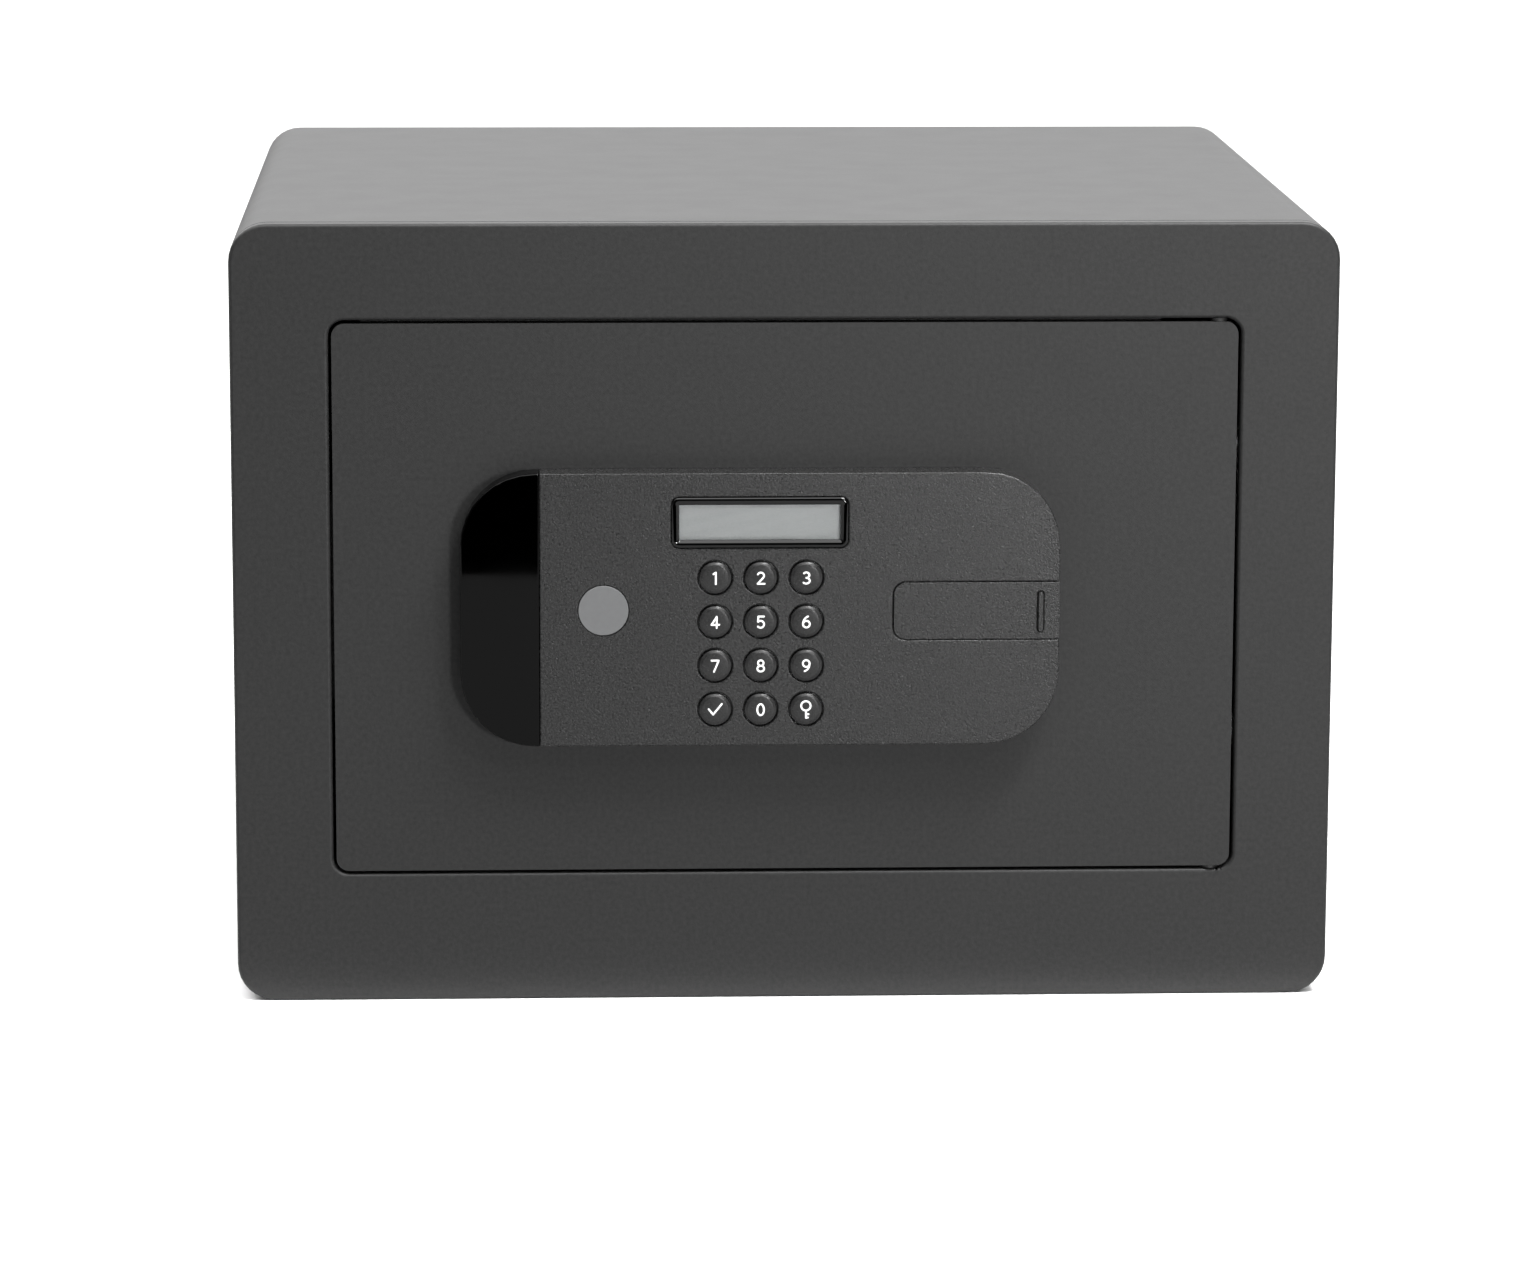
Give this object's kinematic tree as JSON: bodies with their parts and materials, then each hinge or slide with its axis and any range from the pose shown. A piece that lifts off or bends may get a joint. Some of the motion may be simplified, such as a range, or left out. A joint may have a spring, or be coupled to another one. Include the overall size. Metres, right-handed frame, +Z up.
{
  "type": "in room safe",
  "caption": "Compact steel safe with a flush swinging door, a proud lock panel with display and keypad, motor-driven bolts and anchor holes.",
  "frame": {"origin": "centre of the four anchor holes, on the underside of the base, which is also the centre of the cabinet's footprint", "axes": "+X to the right as seen from the front, +Y from the front face to the back, +Z up"},
  "size_m": [0.35, 0.3114, 0.25],
  "materials": {
    "powder_coat": "fine textured powder coat, satin",
    "bright_steel": "ground and pressed steel",
    "bolt_chrome": "polished chrome plate",
    "zinc_plate": "zinc plated, passivated",
    "brass": "turned brass",
    "panel_plastic": "satin moulding with a fine grain",
    "key_plastic": "satin key cap with a white symbol",
    "gloss_black": "high gloss black",
    "window": "clear acrylic window",
    "display": "unlit reflective display, grey",
    "board": "green solder mask",
    "silicone": "grey silicone",
    "badge": "spun satin aluminium, blank",
    "black_nylon": "black nylon moulding",
    "white_acetal": "white acetal",
    "cell_jacket": "plain cell jacket",
    "red_jacket": "red two-core cable",
    "black_jacket": "black two-core cable",
    "reset_red": "red button",
    "mat_felt": "needle felt"
  },
  "bodies": {
    "cabinet": {"cabinet_wrap": "powder_coat", "front_frame": "powder_coat", "back_panel": "powder_coat", "door_stops": "powder_coat", "hinge_washers": "black_nylon", "floor_mat": "mat_felt"},
    "door": {"door_plate": "powder_coat", "hinge_pins": "bright_steel", "lock_case": "powder_coat", "hinge_dogs": "bright_steel", "inner_cover": "powder_coat", "inner_cover_screws": "zinc_plate", "bolt_bushes": "white_acetal", "bolt_guide": "bright_steel", "gearbox": "black_nylon", "motor_can": "bright_steel", "motor_bracket": "bright_steel", "motor_screws": "zinc_plate", "battery_tray": "black_nylon", "battery_cells": "cell_jacket", "battery_contacts": "bright_steel", "reset_switch": "black_nylon", "motor_cable": "red_jacket", "battery_cable": "black_jacket", "cable_grommet": "silicone", "fascia": "panel_plastic", "grip_end": "gloss_black", "display_bezel": "gloss_black", "display_window": "window", "display_module": "display", "circuit_board": "board", "keypad_mat": "silicone", "badge_disc": "badge", "fascia_screws": "zinc_plate", "lock_cylinder": "zinc_plate", "cylinder_nut": "zinc_plate"},
    "bolt_work": {"locking_bolts": "bolt_chrome", "bolt_carriage": "zinc_plate", "bolt_screws": "zinc_plate"},
    "pinion": {"drive_pinion": "white_acetal", "output_shaft": "bright_steel"},
    "emergency_plug": {"lock_plug": "brass", "lock_cam": "zinc_plate", "cam_screw": "zinc_plate"},
    "sliding_cover": {"key_cover": "panel_plastic"},
    "battery_lid": {"battery_cover": "black_nylon"},
    "reset_plunger": {"reset_button": "reset_red"},
    "key_1_cap": {"key_1": "key_plastic"},
    "key_2_cap": {"key_2": "key_plastic"},
    "key_3_cap": {"key_3": "key_plastic"},
    "key_4_cap": {"key_4": "key_plastic"},
    "key_5_cap": {"key_5": "key_plastic"},
    "key_6_cap": {"key_6": "key_plastic"},
    "key_7_cap": {"key_7": "key_plastic"},
    "key_8_cap": {"key_8": "key_plastic"},
    "key_9_cap": {"key_9": "key_plastic"},
    "key_tick_cap": {"key_tick": "key_plastic"},
    "key_0_cap": {"key_0": "key_plastic"},
    "key_lock_cap": {"key_lock": "key_plastic"}
  },
  "joints": [
    {"name": "door_swing", "type": "hinge", "parent": "cabinet", "child": "door", "pos_m": [0.137, -0.147, 0.1305], "axis": [0, 0, 1], "range_deg": [0, 105]},
    {"name": "bolt_throw", "type": "slide", "parent": "door", "child": "bolt_work", "axis": [-1, 0, 0], "range_m": [0, 0.022]},
    {"name": "pinion_turn", "type": "hinge", "parent": "door", "child": "pinion", "pos_m": [-0.02, -0.117, 0.127], "axis": [0, -1, 0], "range_deg": [0, 141]},
    {"name": "lock_turn", "type": "hinge", "parent": "door", "child": "emergency_plug", "pos_m": [0.058, -0.15, 0.1285], "axis": [0, -1, 0], "range_deg": [-90, 0]},
    {"name": "cover_slide", "type": "slide", "parent": "door", "child": "sliding_cover", "axis": [1, 0, 0], "range_m": [0, 0.04]},
    {"name": "battery_cover_lift", "type": "slide", "parent": "door", "child": "battery_lid", "axis": [0, 1, 0], "range_m": [0, 0.02]},
    {"name": "reset_press", "type": "slide", "parent": "door", "child": "reset_plunger", "axis": [0, -1, 0], "range_m": [0, 0.0015], "stiffness_N_per_m": 400, "springref_m": -0.001},
    {"name": "key_1_press", "type": "slide", "parent": "door", "child": "key_1_cap", "axis": [0, 1, 0], "range_m": [0, 0.001], "stiffness_N_per_m": 400, "springref_m": -0.001},
    {"name": "key_2_press", "type": "slide", "parent": "door", "child": "key_2_cap", "axis": [0, 1, 0], "range_m": [0, 0.001], "stiffness_N_per_m": 400, "springref_m": -0.001},
    {"name": "key_3_press", "type": "slide", "parent": "door", "child": "key_3_cap", "axis": [0, 1, 0], "range_m": [0, 0.001], "stiffness_N_per_m": 400, "springref_m": -0.001},
    {"name": "key_4_press", "type": "slide", "parent": "door", "child": "key_4_cap", "axis": [0, 1, 0], "range_m": [0, 0.001], "stiffness_N_per_m": 400, "springref_m": -0.001},
    {"name": "key_5_press", "type": "slide", "parent": "door", "child": "key_5_cap", "axis": [0, 1, 0], "range_m": [0, 0.001], "stiffness_N_per_m": 400, "springref_m": -0.001},
    {"name": "key_6_press", "type": "slide", "parent": "door", "child": "key_6_cap", "axis": [0, 1, 0], "range_m": [0, 0.001], "stiffness_N_per_m": 400, "springref_m": -0.001},
    {"name": "key_7_press", "type": "slide", "parent": "door", "child": "key_7_cap", "axis": [0, 1, 0], "range_m": [0, 0.001], "stiffness_N_per_m": 400, "springref_m": -0.001},
    {"name": "key_8_press", "type": "slide", "parent": "door", "child": "key_8_cap", "axis": [0, 1, 0], "range_m": [0, 0.001], "stiffness_N_per_m": 400, "springref_m": -0.001},
    {"name": "key_9_press", "type": "slide", "parent": "door", "child": "key_9_cap", "axis": [0, 1, 0], "range_m": [0, 0.001], "stiffness_N_per_m": 400, "springref_m": -0.001},
    {"name": "key_tick_press", "type": "slide", "parent": "door", "child": "key_tick_cap", "axis": [0, 1, 0], "range_m": [0, 0.001], "stiffness_N_per_m": 400, "springref_m": -0.001},
    {"name": "key_0_press", "type": "slide", "parent": "door", "child": "key_0_cap", "axis": [0, 1, 0], "range_m": [0, 0.001], "stiffness_N_per_m": 400, "springref_m": -0.001},
    {"name": "key_lock_press", "type": "slide", "parent": "door", "child": "key_lock_cap", "axis": [0, 1, 0], "range_m": [0, 0.001], "stiffness_N_per_m": 400, "springref_m": -0.001}
  ],
  "couplings": [
    {"joint": "pinion_turn", "follows": "bolt_throw", "rad_per_m": 111.11}
  ]
}
